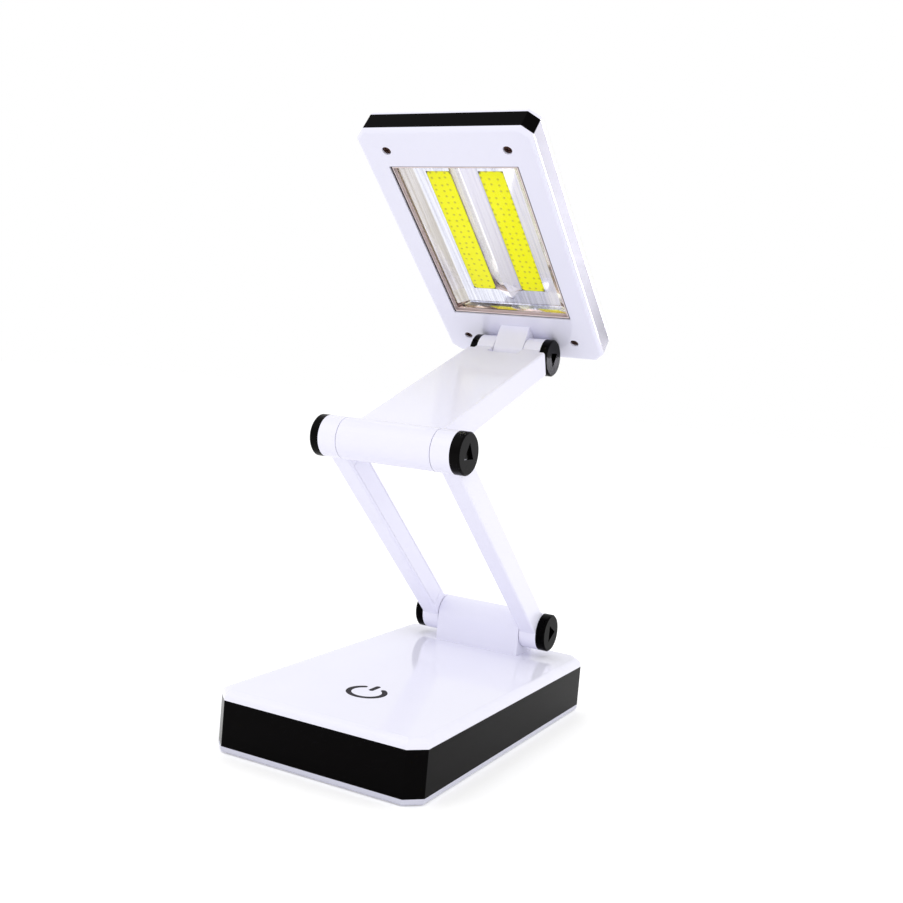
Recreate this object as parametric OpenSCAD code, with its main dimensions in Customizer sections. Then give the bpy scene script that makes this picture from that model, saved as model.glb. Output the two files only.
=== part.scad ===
// Folding desk lamp: a flat base, two hinged arms and a flat lamp head that fold into one stack.
// Millimetres. +Z is up, the front is -Y, and the origin is the middle of the base on the table.
// Arms and head are drawn folded flat, each round its own hinge axis, then turned to the pose they rest in.

/* [Base] */
// Width of the base
base_w = 90; // [84:1:110]
// Depth of the base, front to back
base_d = 154.4; // [150:0.2:180]
// Size of the cut across each corner of the base
base_corner = 5.7; // [4:0.1:9]
// Height that the rubber feet stand out under the tray
foot_h = 0.25; // [0.1:0.05:0.3]
// Radius of a rubber foot
foot_r = 5; // [4:0.5:7]
// Distance of a foot's centre from the base's sides
foot_inset = 11.5; // [10:0.5:14]
// Height of the white tray at the bottom
tray_h = 2.4; // [2.2:0.1:3.5]
// Height of the black band
band_h = 17.6; // [17:0.2:24]
// Height of the white top cover
cover_h = 3.5; // [3:0.1:5]
// Radius of the rounded edge on top of the cover
cover_edge_r = 3; // [1:0.1:3]
// Radius of the rounded edge under the tray
tray_edge_r = 1.2; // [0.5:0.1:2]
// Wall of the band
band_wall = 2.4; // [1.6:0.1:3]
// Thickness of the top cover's plate
cover_plate = 2.2; // [1.6:0.1:2.6]
// Distance of the tray screws from the base's sides
tray_screw_inset = 7.6; // [7:0.1:8.5]
// Distance of the tray screws from the base's front and rear
tray_screw_end = 30.2; // [27:0.1:32]
// Distance of the touch sign's middle from the base's front
touch_inset = 36.7; // [34:0.1:38]

/* [Hinges] */
// Radius of all three hinge barrels and of their caps
barrel_r = 8.3; // [7.8:0.1:9]
// Gap between the folded barrels and the base's top
barrel_lift = 3; // [1:0.1:6]
// Distance of the base hinge's axis from the rear of the base
hinge_inset = 15.4; // [14:0.1:18]
// Radius of the hinge pins
pin_r = 2.5; // [2:0.1:3]
// Radial clearance of a pin in its bore
pin_clearance = 0.05; // [0.02:0.01:0.08]
// Gap between the side faces that turn against each other
side_gap = 0.3; // [0.2:0.05:0.6]
// Half the width of the barrel between the lower arm's ears
barrel_half = 20.5; // [19.8:0.1:24]
// Depth of the pocket for a nut or a pin's head
nut_pocket = 4.5; // [4.2:0.1:5]
// Radius of that pocket
nut_pocket_r = 6; // [5.6:0.1:6.6]
// Radius of a nut, over its corners
nut_r = 4.6; // [4:0.1:5]
// Thickness of a nut or a pin's head
nut_t = 2.2; // [1.8:0.1:2.4]
// Thickness of the stack of spring washers
washer_t = 1; // [0.6:0.1:1.2]

/* [Caps] */
// Thickness of the caps at the base hinge and the elbow
cap_t = 4.1; // [3:0.1:5]
// Thickness of the caps at the head hinge
head_cap_t = 3.7; // [3:0.1:5]
// Width of the slanted edge round a cap's face
cap_chamfer = 0.6; // [0.2:0.1:1]
// Radius over the corners of a cap's triangular recess
cap_mark_r = 4.3; // [3:0.1:5]
// Depth of that recess
cap_mark_depth = 1.2; // [0.6:0.1:2]
// Length of the spigot that holds a cap in its pocket
cap_spigot = 1; // [0.5:0.1:1.1]

/* [Lower arm] */
// Distance between the lower arm's two hinge axes
lower_len = 130; // [126:0.5:134]
// Width of a rail
rail_w = 8; // [7.6:0.1:9]
// Depth of a rail
rail_h = 10.6; // [9:0.1:12]
// Wall of a rail
rail_wall = 1.2; // [1:0.1:1.5]
// Thickness of a rail's inner cover plate
rail_cover_t = 1.2; // [0.8:0.1:1.6]

/* [Upper arm] */
// Distance between the upper arm's two hinge axes
upper_len = 110.3; // [107:0.1:113]
// Width of the upper arm's panel
panel_w = 38.4; // [37:0.1:39]
// Thickness of the panel
panel_h = 11; // [10:0.1:12]
// Wall of the panel
panel_wall = 1.8; // [1.4:0.1:2.2]
// Thickness of the panel's underside cover
panel_cover_t = 1.5; // [1:0.1:2]
// Half the width of the head's knuckle
knuckle_half = 7.2; // [6:0.1:8]
// Distance of the head hinge rings' outer faces from the middle
ring_out = 15.7; // [15.3:0.1:16]

/* [Head] */
// Width of the head
head_w = 77.4; // [76:0.2:90]
// Length of the head
head_len = 132.2; // [131:0.2:133]
// Size of the cut across each corner of the head
head_corner = 4.1; // [3:0.1:7]
// Length of the head behind its hinge axis
head_tail = 10.6; // [10:0.1:11.4]
// Distance of the head's face from its hinge axis
face_offset = 8.8; // [8.8:0.05:9.4]
// Thickness of the white bezel
bezel_h = 2; // [1.8:0.1:2.6]
// Radius of the rounded edge round the bezel
bezel_edge_r = 1.7; // [1:0.1:1.8]
// Height of the head's black band
head_band_h = 8; // [7.8:0.1:11]
// Wall of the head's band
head_band_wall = 2.2; // [1.6:0.1:3]
// Height of the white back cover
back_h = 3; // [2.6:0.1:5]
// Radius of the rounded edge of the back cover
back_edge_r = 2.6; // [1:0.1:2.6]
// Width of the bezel beside the window
window_side = 9.75; // [9:0.05:12]
// Width of the bezel between the window and the hinge end
window_near = 27.2; // [26.5:0.1:32]
// Width of the bezel between the window and the far end
window_far = 18.1; // [16:0.1:22]
// Distance of the head screws from the head's sides
head_screw_side = 11.9; // [8:0.1:14]
// Distance of the near pair of head screws from the hinge end
head_screw_near = 11.6; // [8:0.1:13]
// Distance of the far pair of head screws from the far end
head_screw_far = 10.1; // [8:0.1:11]

/* [Light] */
// Width of a light strip
strip_w = 10.8; // [8:0.1:11]
// Corner radius of a light strip
strip_corner = 1.8; // [0.4:0.1:3]
// Distance between the middle lines of the two strips
strip_pitch = 23.9; // [22:0.1:26]
// Distance of the strips from the window's edge at the hinge end
strip_near = 10.8; // [6:0.1:14]
// Distance of the strips from the window's far edge
strip_far = 8; // [6:0.1:14]
// Depth of the strips' faces behind the head's face
strip_depth = 7; // [6.4:0.1:7.2]
// Depth of the reflector's rim behind the head's face
rim_depth = 4.4; // [3.6:0.1:5]
// Run of the reflector's sloping side walls
wall_run = 6; // [2:0.1:6.2]
// Run of the reflector's sloping end walls
end_run = 1; // [0.5:0.1:6]

/* [Rest pose] */
// Angle of the lower arm above level, leaning forward
lower_rise = 40.7; // [30:0.1:60]
// Angle of the upper arm above level, rising to the rear
upper_rise = 20.3; // [10:0.1:40]
// Angle of the head above level, leaning forward
head_rise = 38.4; // [20:0.1:60]

/* [Hidden] */
$fn = 64;

// Reach of a cut past the face it opens
past = 1;
// Clearance between pieces of one assembly
fit = 0.15;
// Clearance of a screw in its pilot bore
screw_fit = 0.05;

// Heights in the base
tray_z = foot_h;
band_z = tray_z + tray_h;
cover_z = band_z + band_h;
base_top = cover_z + cover_h;
cover_inside = base_top - cover_plate;

// Hinge axes at rest
base_axis_y = base_d / 2 - hinge_inset;
base_axis_z = base_top + barrel_lift + barrel_r;
elbow_y = base_axis_y - lower_len * cos(lower_rise);
elbow_z = base_axis_z + lower_len * sin(lower_rise);
head_axis_y = elbow_y + upper_len * cos(upper_rise);
head_axis_z = elbow_z + upper_len * sin(upper_rise);

// Hinge stack, measured from the middle
ear_in = barrel_half + side_gap;
ear_out = ear_in + rail_w;
ring_in = knuckle_half + side_gap;
pin_end_gap = 0.2;
pin_bore_r = pin_r + pin_clearance;

// Small screws: radius of the thread, the head and the height of the head
screw_r = 1.2;
screw_head_r = 2.1;
screw_head_h = 1.2;
pilot_r = screw_r + screw_fit;
boss_r = 3.1;

// Rim that keeps the tray inside the band
rim_h = 2;
rim_t = 1.4;

// Feet sit in shallow pockets
foot_pocket = 1;
foot_x = base_w / 2 - foot_inset;
foot_y = base_d / 2 - foot_inset;

tray_screw_x = base_w / 2 - tray_screw_inset;
tray_screw_y = base_d / 2 - tray_screw_end;
tray_screw_sink = 1.3;

// Three cells lie side by side across the base
cell_r = 7.25;
cell_len = 49.2;
cell_nub_r = 2.6;
cell_nub_h = 1.2;
cell_count = 3;
cell_gap = 0.3;
cell_pitch = 2 * cell_r + cell_gap;
contact_t = 0.4;
spring_len = 3.4;
spring_r = 3.2;
spring_wall = 0.7;
bay_w = cell_len + cell_nub_h + spring_len + 2 * contact_t + 2 * fit;
bay_d = cell_count * cell_pitch + 1;
bay_h = 2 * cell_r + 0.6;
bay_wall = 1.2;
bay_inset = 38.5;
bay_y = base_d / 2 - bay_inset - bay_d / 2;
door_t = 1.6;
door_margin = 3;
door_w = bay_w + 2 * door_margin;
door_d = bay_d + 2 * door_margin;
door_r = 2;
door_tongue_r = 4;
door_screw_y = bay_y + bay_d / 2 + bay_wall + fit + boss_r;
door_screw_sink = 1;
door_boss_h = 4;

// Hinge block, clamped through the cover to a plate below it
block_spigot_x = 12;
block_spigot_r = 3.5;
block_spigot_h = cover_plate - 0.2;
plate_t = 1.5;
plate_w = 2 * barrel_half - 2;
plate_d = 15;
plate_corner = 2;
plate_hole_r = 1.7;
plate_screw_r = 1.5;
plate_screw_head_r = 2.8;
plate_screw_len = 8;

// Control board under the touch sign
board_w = 56;
board_d = 26;
board_t = 1.6;
board_y = touch_inset - base_d / 2;
board_post_h = 6.8;
board_post_r = 2.6;
board_post_inset = 4;
board_z = band_z + board_post_h;
chip_x = 16;
chip_w = 8;
chip_h = 1.6;
driver_x = 18;
driver_w = 5;
driver_h = 1.2;
capacitor_x = [15, 23];
capacitor_y = 8;
capacitor_r = 3;
capacitor_h = 6.5;
socket_w = 10;
socket_d = 5;
socket_y = 9.5;
socket_h = 4.5;
touch_r = 8;
touch_t = 0.5;
touch_spring_r = 3.2;
wire_w = 5;
wire_t = 0.7;
wire_gap = 0.1;

// Rails of the lower arm
rail_edge_r = 0.9;
rail_pocket_end = 13;
rail_ledge = 0.7;
rail_outer_wall = 1.5;

// Panel of the upper arm
panel_edge_r = 1;
panel_end = upper_len - barrel_r - 0.6;
panel_notch = 4.4;
panel_pocket_start = 12;
panel_pocket_end = upper_len - 22;
panel_ledge = 1.5;
panel_screw_x = panel_w / 2 - panel_wall - boss_r;
panel_boss_r = 2.6;

// Heights in the head, measured from its hinge axis while folded
bezel_z = face_offset;
head_band_z = bezel_z + bezel_h;
back_z = head_band_z + head_band_h;
head_back = back_z + back_h;
back_plate = 2;
head_front = head_len - head_tail;
head_mid = head_len / 2 - head_tail;
window_w = head_w - 2 * window_side;
window_len = head_len - window_near - window_far;
window_start = window_near - head_tail;
strip_len = window_len - strip_near - strip_far;
strip_start = window_start + strip_near;
head_screw_x = head_w / 2 - head_screw_side;
lens_sink = 0.6;
lens_flange = 2.6;
lens_flange_t = 1;
lens_gap = 0.2;
window_mid = window_start + window_len / 2;
reflector_z = head_band_z + lens_flange_t + 0.1;
strip_z = face_offset + strip_depth;
strip_t = 1;
reflector_floor_t = 0.9;
reflector_lip = 0.2;
rim_z = face_offset + rim_depth;
crest_drop = 0.2;
crest_z = rim_z + crest_drop;
crest_w = 0.6;
crest_inset = 7.2;
floor_w = window_w - 2 * wall_run;
floor_len = window_len - 2 * end_run;
thin = 0.01;
strip_mid = strip_start + strip_len / 2;
strip_x = strip_pitch / 2;
board_strip_z = strip_z + strip_t;
led_board_t = 1.2;
led_board_margin = 1.4;
spreader_z = board_strip_z + led_board_t;
spreader_t = 1;
head_screw_r = 1;
head_screw_head_r = 1.75;
head_screw_hole_r = 1.95;
head_screw_sink = 1;
head_screw_head_h = 0.6;
head_boss_r = 2.8;

// Knuckle of the head
tab_reach = 10;
stem_front = 6;
stem_rear = 5;
flange_half = 12.5;
flange_front = 8;
flange_rear = 6.6;
flange_t = 2;
knuckle_screw_x = 9.9;
knuckle_screw_len = 3.2;

// ---------- shared shapes ----------

// A rectangle with rounded corners, made of squares and circles
module soft_rect(w, h, r) {
    square([w - 2 * r, h], center = true);
    square([w, h - 2 * r], center = true);
    for (sx = [-1, 1], sy = [-1, 1])
        translate([sx * (w / 2 - r), sy * (h / 2 - r)]) circle(r);
}

// A rectangle with its four corners cut off at 45 degrees, and the whole drawn in by an inset
module cut_rect(w, d, corner, inset = 0) {
    hw = w / 2 - inset;
    hd = d / 2 - inset;
    c = corner - (2 - sqrt(2)) * inset;
    polygon([
        [-hw + c, -hd], [hw - c, -hd], [hw, -hd + c], [hw, hd - c],
        [hw - c, hd], [-hw + c, hd], [-hw, hd - c], [-hw, -hd + c]
    ]);
}

// One direction of a lid: a bar of the lid's height whose two long top edges are rounded
module round_edged_bar(width, length, h, r) {
    rotate([90, 0, 0])
        linear_extrude(length, center = true) {
            translate([-width / 2, 0]) square([width, h - r]);
            translate([-width / 2 + r, 0]) square([width - 2 * r, h]);
            for (side = [-1, 1])
                translate([side * (width / 2 - r), h - r]) circle(r);
        }
}

// A lid with cut corners whose top edge is rounded all the way round
module crowned_lid(w, d, corner, h, r) {
    reach = w + d;
    across = (w + d - 2 * corner) / sqrt(2);
    intersection() {
        round_edged_bar(w, reach, h, r);
        rotate([0, 0, 90]) round_edged_bar(d, reach, h, r);
        rotate([0, 0, 45]) round_edged_bar(across, reach, h, r);
        rotate([0, 0, -45]) round_edged_bar(across, reach, h, r);
    }
}

// A cylinder along X between two places
module x_rod(r, x0, x1) {
    translate([x0, 0, 0]) rotate([0, 90, 0]) cylinder(r = r, h = x1 - x0);
}

// A block between two places on each axis
module block(x0, x1, y0, y1, z0, z1) {
    translate([x0, y0, z0]) cube([x1 - x0, y1 - y0, z1 - z0]);
}

// Copies at the four corners of a rectangle round the origin
module at_corners(x, y) {
    for (sx = [-1, 1], sy = [-1, 1])
        translate([sx * x, sy * y, 0]) children();
}

// A screw that points up, with its head's top at zero
module screw(r, head_r, head_h, length) {
    cylinder(r = r, h = length);
    translate([0, 0, -head_h]) cylinder(r = head_r, h = head_h);
}

// ---------- where each assembly rests ----------

module on_lower_arm() {
    translate([0, base_axis_y, base_axis_z]) rotate([-lower_rise, 0, 0]) children();
}

module on_upper_arm() {
    translate([0, elbow_y, elbow_z]) rotate([upper_rise, 0, 0]) children();
}

module on_head() {
    translate([0, head_axis_y, head_axis_z]) rotate([-head_rise, 0, 0]) children();
}

// ---------- hinge hardware, drawn round the X axis ----------

// Bore for the pin and the two pockets for its head and nut
module hinge_bores(outer) {
    x_rod(pin_bore_r, -outer - past, outer + past);
    for (side = [0, 1])
        mirror([side, 0, 0]) x_rod(nut_pocket_r, outer - nut_pocket, outer + past);
}

module hinge_pin(outer) {
    seat = outer - nut_pocket;
    x_rod(pin_r, -seat, seat + washer_t + nut_t);
    x_rod(nut_r, -seat - nut_t, -seat);
}

module hinge_washers(outer) {
    seat = outer - nut_pocket;
    difference() {
        x_rod(nut_r, seat, seat + washer_t);
        x_rod(pin_bore_r, seat - past, seat + washer_t + past);
    }
}

module hinge_nut(outer) {
    seat = outer - nut_pocket + washer_t;
    difference() {
        translate([seat, 0, 0]) rotate([0, 90, 0]) cylinder(r = nut_r, h = nut_t, $fn = 6);
        x_rod(pin_bore_r, seat - past, seat + nut_t + past);
    }
}

// One cap: a disc with a slanted edge, a spigot behind and a triangular recess in its face
module cap(outer, thick, turn) {
    spigot_r = nut_pocket_r - fit;
    translate([outer, 0, 0]) rotate([0, 90, 0])
        difference() {
            rotate_extrude()
                polygon([
                    [0, -cap_spigot], [spigot_r, -cap_spigot], [spigot_r, 0], [barrel_r, 0],
                    [barrel_r, thick - cap_chamfer], [barrel_r - cap_chamfer, thick], [0, thick]
                ]);
            translate([0, 0, thick - cap_mark_depth]) rotate([0, 0, turn])
                cylinder(r = cap_mark_r, h = cap_mark_depth + past, $fn = 3);
        }
}

// The pair of caps of one hinge
module cap_pair(outer, thick, turn) {
    for (side = [0, 1])
        mirror([side, 0, 0]) cap(outer, thick, turn);
}

// ---------- base ----------

module rubber_feet() {
    color("dimgray")
        at_corners(foot_x, foot_y) cylinder(r = foot_r, h = foot_h + foot_pocket);
}

// Bottom tray: rounded underside, rim inside the band, posts for the board, openings for door and screws
module base_tray() {
    color("whitesmoke")
        difference() {
            union() {
                translate([0, 0, band_z]) mirror([0, 0, 1])
                    crowned_lid(base_w, base_d, base_corner, tray_h, tray_edge_r);
                translate([0, 0, band_z - past])
                    linear_extrude(rim_h + past)
                        difference() {
                            cut_rect(base_w, base_d, base_corner, band_wall + fit);
                            cut_rect(base_w, base_d, base_corner, band_wall + fit + rim_t);
                        }
                translate([0, board_y, band_z - past])
                    at_corners(board_w / 2 - board_post_inset, board_d / 2 - board_post_inset)
                        cylinder(r = board_post_r, h = board_post_h + past);
                translate([0, door_screw_y, band_z - past]) cylinder(r = boss_r, h = door_boss_h + past);
            }
            at_corners(foot_x, foot_y)
                translate([0, 0, tray_z - past]) cylinder(r = foot_r + fit, h = foot_pocket + past);
            at_corners(tray_screw_x, tray_screw_y)
                translate([0, 0, tray_z - past]) {
                    cylinder(r = screw_head_r + fit, h = tray_screw_sink + past);
                    cylinder(r = screw_r + fit, h = tray_h + 2 * past);
                }
            block(-bay_w / 2, bay_w / 2, bay_y - bay_d / 2, bay_y + bay_d / 2, tray_z - past, band_z + past);
            translate([0, 0, tray_z - past]) linear_extrude(door_t + past) door_outline(fit);
            translate([0, door_screw_y, tray_z]) cylinder(r = pilot_r, h = tray_h + door_boss_h - fit);
        }
}

module tray_screws() {
    color("silver")
        at_corners(tray_screw_x, tray_screw_y)
            translate([0, 0, tray_z + tray_screw_sink])
                screw(screw_r, screw_head_r, screw_head_h, band_h - 4);
}

module base_band() {
    color([0.03, 0.03, 0.03])
        translate([0, 0, band_z])
            linear_extrude(band_h)
                difference() {
                    cut_rect(base_w, base_d, base_corner);
                    cut_rect(base_w, base_d, base_corner, band_wall);
                }
}

// Top cover: rounded edge, plate inside it, bosses for the tray screws, holes for the hinge block
module base_top_cover() {
    color("white")
        difference() {
            union() {
                difference() {
                    translate([0, 0, cover_z])
                        crowned_lid(base_w, base_d, base_corner, cover_h, cover_edge_r);
                    translate([0, 0, cover_z - past])
                        linear_extrude(cover_inside - cover_z + past)
                            cut_rect(base_w, base_d, base_corner, cover_edge_r);
                }
                at_corners(tray_screw_x, tray_screw_y)
                    translate([0, 0, band_z + fit]) cylinder(r = boss_r, h = cover_inside - band_z);
            }
            at_corners(tray_screw_x, tray_screw_y)
                translate([0, 0, band_z]) cylinder(r = pilot_r, h = band_h - 2);
            for (side = [-1, 1])
                translate([side * block_spigot_x, base_axis_y, cover_inside - past])
                    cylinder(r = block_spigot_r + fit, h = cover_plate + 2 * past);
        }
}

// Centre block of the base hinge: a barrel on an upright foot, with two spigots through the cover
module hinge_block() {
    color("white")
        difference() {
            union() {
                translate([0, base_axis_y, base_axis_z]) x_rod(barrel_r, -barrel_half, barrel_half);
                block(
                    -barrel_half, barrel_half, base_axis_y - barrel_r, base_axis_y + barrel_r,
                    base_top, base_axis_z
                );
                for (side = [-1, 1])
                    translate([side * block_spigot_x, base_axis_y, base_top - block_spigot_h])
                        cylinder(r = block_spigot_r, h = block_spigot_h + past);
            }
            translate([0, base_axis_y, base_axis_z]) x_rod(pin_bore_r, -barrel_half - past, barrel_half + past);
            for (side = [-1, 1])
                translate([side * block_spigot_x, base_axis_y, cover_inside - past])
                    cylinder(r = plate_screw_r + screw_fit, h = plate_screw_len + past);
        }
}

// Steel plate under the cover that spreads the load of the hinge block
module hinge_plate() {
    color("silver")
        difference() {
            translate([0, base_axis_y, cover_inside - plate_t])
                linear_extrude(plate_t) soft_rect(plate_w, plate_d, plate_corner);
            for (side = [-1, 1])
                translate([side * block_spigot_x, base_axis_y, cover_inside - plate_t - past])
                    cylinder(r = plate_hole_r, h = plate_t + 2 * past);
        }
}

module hinge_plate_screws() {
    color("silver")
        for (side = [-1, 1])
            translate([side * block_spigot_x, base_axis_y, cover_inside - plate_t])
                screw(plate_screw_r, plate_screw_head_r, screw_head_h, plate_screw_len);
}

module control_board() {
    color("darkgreen")
        translate([-board_w / 2, board_y - board_d / 2, board_z]) cube([board_w, board_d, board_t]);
}

// Chips, capacitors and the wire socket on the board
module board_parts() {
    color([0.1, 0.1, 0.1])
        translate([0, board_y, board_z + board_t]) {
            upright(chip_w, chip_w, chip_h, [-chip_x, 0]);
            upright(driver_w, driver_w, driver_h, [driver_x, -capacitor_y]);
            upright(socket_w, socket_d, socket_h, [0, socket_y]);
            for (x = capacitor_x)
                translate([x, capacitor_y, 0]) cylinder(r = capacitor_r, h = capacitor_h);
        }
}

// A block that stands on a place
module upright(w, d, h, place) {
    translate([place[0] - w / 2, place[1] - d / 2, 0]) cube([w, d, h]);
}

module touch_disc() {
    color("goldenrod")
        translate([0, board_y, cover_inside - touch_t]) cylinder(r = touch_r, h = touch_t);
}

module touch_spring() {
    low = board_z + board_t;
    high = cover_inside - touch_t;
    color("silver")
        translate([0, board_y, low])
            difference() {
                cylinder(r = touch_spring_r, h = high - low);
                translate([0, 0, -past]) cylinder(r = touch_spring_r - 0.6, h = high - low + 2 * past);
            }
}

// Holder for the cells: a box that is open at the bottom, over the door
module battery_holder() {
    color([0.15, 0.15, 0.15])
        difference() {
            block(
                -bay_w / 2 - bay_wall, bay_w / 2 + bay_wall,
                bay_y - bay_d / 2 - bay_wall, bay_y + bay_d / 2 + bay_wall,
                band_z, band_z + bay_h + bay_wall
            );
            block(-bay_w / 2, bay_w / 2, bay_y - bay_d / 2, bay_y + bay_d / 2, band_z - past, band_z + bay_h);
        }
}

// Places each cell's axis, every second one turned end for end
module at_cells() {
    for (i = [0 : cell_count - 1])
        translate([0, bay_y + (i - (cell_count - 1) / 2) * cell_pitch, band_z + cell_r + 0.3])
            mirror([i % 2, 0, 0]) children();
}

cell_start = -bay_w / 2 + fit + contact_t + spring_len;

module battery_cells() {
    color("steelblue")
        at_cells() {
            x_rod(cell_r, cell_start, cell_start + cell_len);
            x_rod(cell_nub_r, cell_start + cell_len - past, cell_start + cell_len + cell_nub_h);
        }
}

// A flat plate at each end of each cell, with a spring at the flat end
module battery_contacts() {
    plate = cell_r - 1;
    left = -bay_w / 2 + fit;
    color("silver")
        at_cells() {
            block(left, left + contact_t, -plate, plate, -plate, plate);
            block(-left - contact_t, -left, -plate, plate, -plate, plate);
            difference() {
                x_rod(spring_r, left, left + contact_t + spring_len);
                x_rod(spring_r - spring_wall, left + contact_t, cell_start + past);
            }
        }
}

// Flat wires from the board's socket, over the holder, to the hinge block
module base_wires() {
    over = band_z + bay_h + bay_wall + wire_gap;
    start = board_y + socket_y;
    color("firebrick") {
        block(-wire_w / 2, wire_w / 2, start, start + wire_t, board_z + board_t + socket_h, over + wire_t);
        block(-wire_w / 2, wire_w / 2, start, base_axis_y - pin_r, over, over + wire_t);
    }
}

// The battery door's outline: a rounded rectangle with a round tongue for its screw
module door_outline(grow) {
    translate([0, bay_y]) soft_rect(door_w + 2 * grow, door_d + 2 * grow, door_r);
    translate([0, (bay_y + door_screw_y) / 2])
        square([2 * (door_tongue_r + grow), door_screw_y - bay_y], center = true);
    translate([0, door_screw_y]) circle(door_tongue_r + grow);
}

module battery_door() {
    color("whitesmoke")
        difference() {
            union() {
                translate([0, 0, tray_z]) linear_extrude(door_t) door_outline(0);
                block(
                    -bay_w / 2 + fit, bay_w / 2 - fit, bay_y - bay_d / 2 + fit, bay_y + bay_d / 2 - fit,
                    tray_z + door_t - past, band_z
                );
            }
            translate([0, door_screw_y, tray_z - past]) {
                cylinder(r = screw_r + fit, h = door_t + 2 * past);
                cylinder(r = screw_head_r + fit, h = door_screw_sink + past);
            }
        }
}

module door_screw() {
    color("silver")
        translate([0, door_screw_y, tray_z + door_screw_sink])
            screw(screw_r, screw_head_r, door_screw_sink - fit, tray_h + 2);
}

// ---------- lower arm ----------

// The right rail, folded flat: a beam with an ear at both ends and a channel behind its inner cover
module rail_shape() {
    difference() {
        union() {
            translate([(ear_in + ear_out) / 2, -lower_len / 2, 0])
                rotate([90, 0, 0])
                    linear_extrude(lower_len, center = true) soft_rect(rail_w, rail_h, rail_edge_r);
            for (y = [0, -lower_len])
                translate([0, y, 0]) x_rod(barrel_r, ear_in, ear_out);
        }
        for (y = [0, -lower_len])
            translate([0, y, 0]) hinge_bores(ear_out);
        rail_pocket(ear_in - past, ear_in + rail_cover_t, rail_h / 2 - rail_wall, rail_pocket_end);
        rail_pocket(
            ear_in, ear_out - rail_outer_wall, rail_h / 2 - rail_wall - rail_ledge, rail_pocket_end + rail_ledge
        );
    }
}

module rail_pocket(x0, x1, half, end) {
    block(x0, x1, -lower_len + end, -end, -half, half);
}

module rail_cover_shape() {
    half = rail_h / 2 - rail_wall - fit;
    end = rail_pocket_end + fit;
    block(ear_in, ear_in + rail_cover_t, -lower_len + end, -end, -half, half);
}

module right_rail() {
    color("white") on_lower_arm() rail_shape();
}

module left_rail() {
    color("white") on_lower_arm() mirror([1, 0, 0]) rail_shape();
}

module right_rail_cover() {
    color("white") on_lower_arm() rail_cover_shape();
}

module left_rail_cover() {
    color("white") on_lower_arm() mirror([1, 0, 0]) rail_cover_shape();
}

// Flat wires on the outer wall of the left rail's channel
module lower_arm_wires() {
    wall = ear_out - rail_outer_wall - wire_gap;
    end = rail_pocket_end + rail_ledge + fit;
    color("firebrick") on_lower_arm()
        block(-wall, -wall + wire_t, -lower_len + end, -end, -wire_w / 2, wire_w / 2);
}

module base_hinge_pin() {
    color("silver") on_lower_arm() hinge_pin(ear_out);
}

module base_hinge_washers() {
    color("gray") on_lower_arm() hinge_washers(ear_out);
}

module base_hinge_nut() {
    color("silver") on_lower_arm() hinge_nut(ear_out);
}

module base_hinge_caps() {
    color([0.05, 0.05, 0.05]) on_lower_arm() cap_pair(ear_out, cap_t, 90 + lower_rise);
}

module at_elbow() {
    on_lower_arm() translate([0, -lower_len, 0]) children();
}

module elbow_pin() {
    color("silver") at_elbow() hinge_pin(ear_out);
}

module elbow_washers() {
    color("gray") at_elbow() hinge_washers(ear_out);
}

module elbow_nut() {
    color("silver") at_elbow() hinge_nut(ear_out);
}

module elbow_caps() {
    color([0.05, 0.05, 0.05]) at_elbow() cap_pair(ear_out, cap_t, 180 + lower_rise);
}

// ---------- upper arm ----------

// Places of the four screws that hold the underside cover
module at_panel_screws() {
    for (y = [panel_pocket_start + boss_r, panel_pocket_end - boss_r], side = [-1, 1])
        translate([side * panel_screw_x, y, 0]) children();
}

// Panel with the elbow's middle barrel, two rings for the head hinge and a hollow closed from below
module upper_arm_body() {
    half_t = panel_h / 2;
    ceiling = half_t - panel_wall;
    color("white") on_upper_arm()
        difference() {
            union() {
                x_rod(barrel_r, -barrel_half, barrel_half);
                translate([0, panel_end / 2, 0])
                    rotate([90, 0, 0])
                        linear_extrude(panel_end, center = true) soft_rect(panel_w, panel_h, panel_edge_r);
                for (side = [0, 1])
                    mirror([side, 0, 0]) {
                        block(ring_in, ring_out, panel_end - past, upper_len, -half_t, half_t);
                        translate([0, upper_len, 0]) x_rod(barrel_r, ring_in, ring_out);
                    }
            }
            x_rod(pin_bore_r, -barrel_half - past, barrel_half + past);
            translate([0, upper_len, 0]) hinge_bores(ring_out);
            block(
                -ring_in, ring_in, upper_len - barrel_r - panel_notch, upper_len + barrel_r,
                -half_t - past, half_t + past
            );
            panel_pocket(0, -half_t - past, -half_t + panel_cover_t);
            difference() {
                panel_pocket(panel_ledge, -half_t, ceiling);
                at_panel_screws() translate([0, 0, -half_t]) cylinder(r = panel_boss_r, h = panel_h);
            }
            at_panel_screws() translate([0, 0, -half_t]) cylinder(r = pilot_r, h = panel_h - panel_wall);
        }
}

module panel_pocket(inset, z0, z1) {
    half = panel_w / 2 - panel_wall - inset;
    block(-half, half, panel_pocket_start + inset, panel_pocket_end - inset, z0, z1);
}

module upper_arm_cover() {
    half = panel_w / 2 - panel_wall - fit;
    low = -panel_h / 2;
    color("white") on_upper_arm()
        difference() {
            block(-half, half, panel_pocket_start + fit, panel_pocket_end - fit, low, low + panel_cover_t);
            at_panel_screws() translate([0, 0, low - past]) {
                cylinder(r = screw_r + fit, h = panel_cover_t + 2 * past);
                cylinder(r = screw_head_r + fit, h = past + panel_cover_t / 2);
            }
        }
}

module upper_arm_screws() {
    color("silver") on_upper_arm()
        at_panel_screws() translate([0, 0, -panel_h / 2 + panel_cover_t / 2])
            screw(screw_r, screw_head_r, panel_cover_t / 2, panel_h / 2);
}

module upper_arm_wires() {
    top = panel_h / 2 - panel_wall - wire_gap;
    color("firebrick") on_upper_arm()
        block(
            -wire_w / 2, wire_w / 2, panel_pocket_start + panel_ledge + fit, panel_pocket_end - panel_ledge - fit,
            top - wire_t, top
        );
}

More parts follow.
